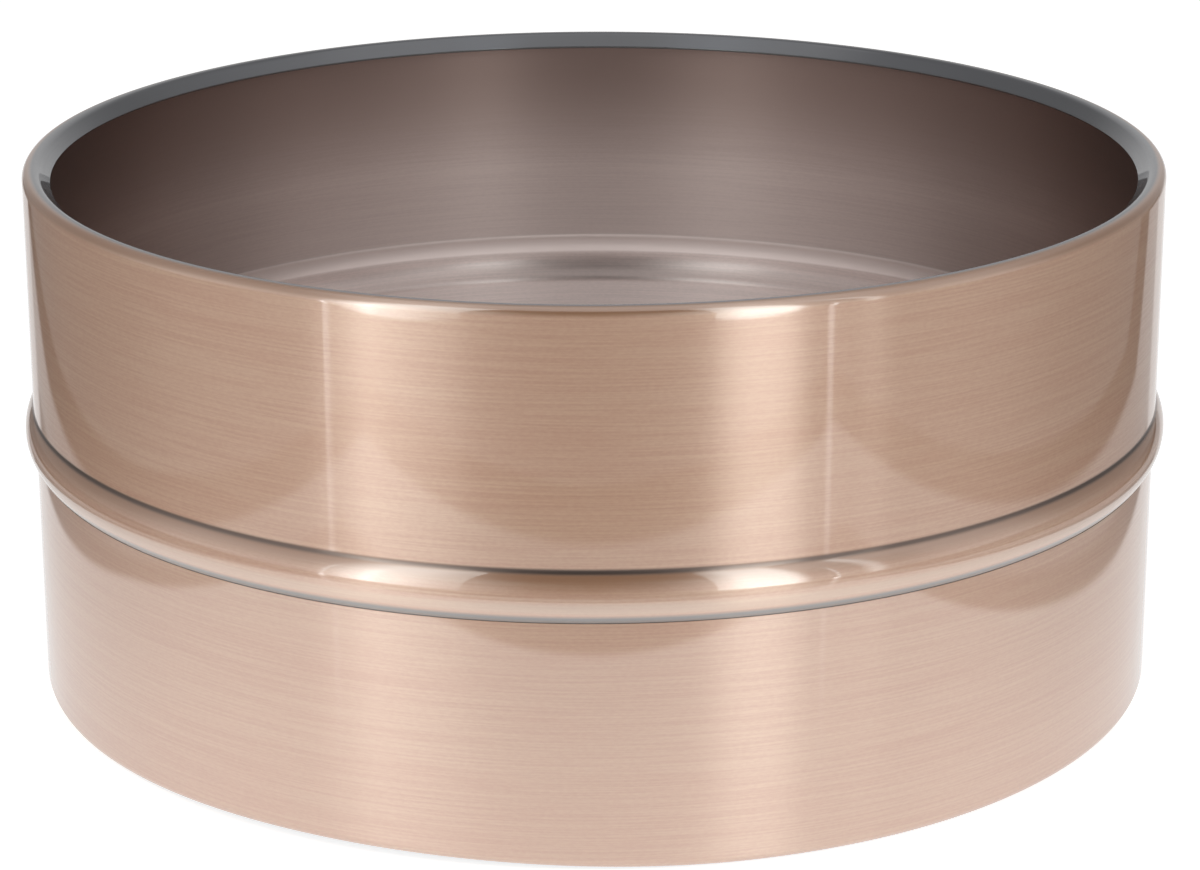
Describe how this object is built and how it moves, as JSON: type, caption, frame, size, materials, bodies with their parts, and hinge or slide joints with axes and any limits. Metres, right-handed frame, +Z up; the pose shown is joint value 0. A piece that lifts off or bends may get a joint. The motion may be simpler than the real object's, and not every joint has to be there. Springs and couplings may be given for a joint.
{
  "type": "snare drum shell",
  "caption": "Bare metal snare drum shell, open right through, with a rolled centre bead, inward bearing edges and snare beds in the bottom edge.",
  "frame": {"origin": "on the shell's axis, in the plane that the bottom bearing edge stands on", "axes": "+Z up along the shell's axis; the snare beds lie on the Y axis"},
  "size_m": [0.3596, 0.3596, 0.1651],
  "materials": {
    "upper_copper": "brushed antique copper under clear gloss lacquer",
    "lower_copper": "brushed antique copper under clear gloss lacquer",
    "plated_solder": "unbrushed copper plate under clear gloss lacquer"
  },
  "bodies": {
    "root": {"upper_shell": "upper_copper", "lower_shell": "lower_copper", "solder_fillet": "plated_solder"}
  },
  "joints": []
}
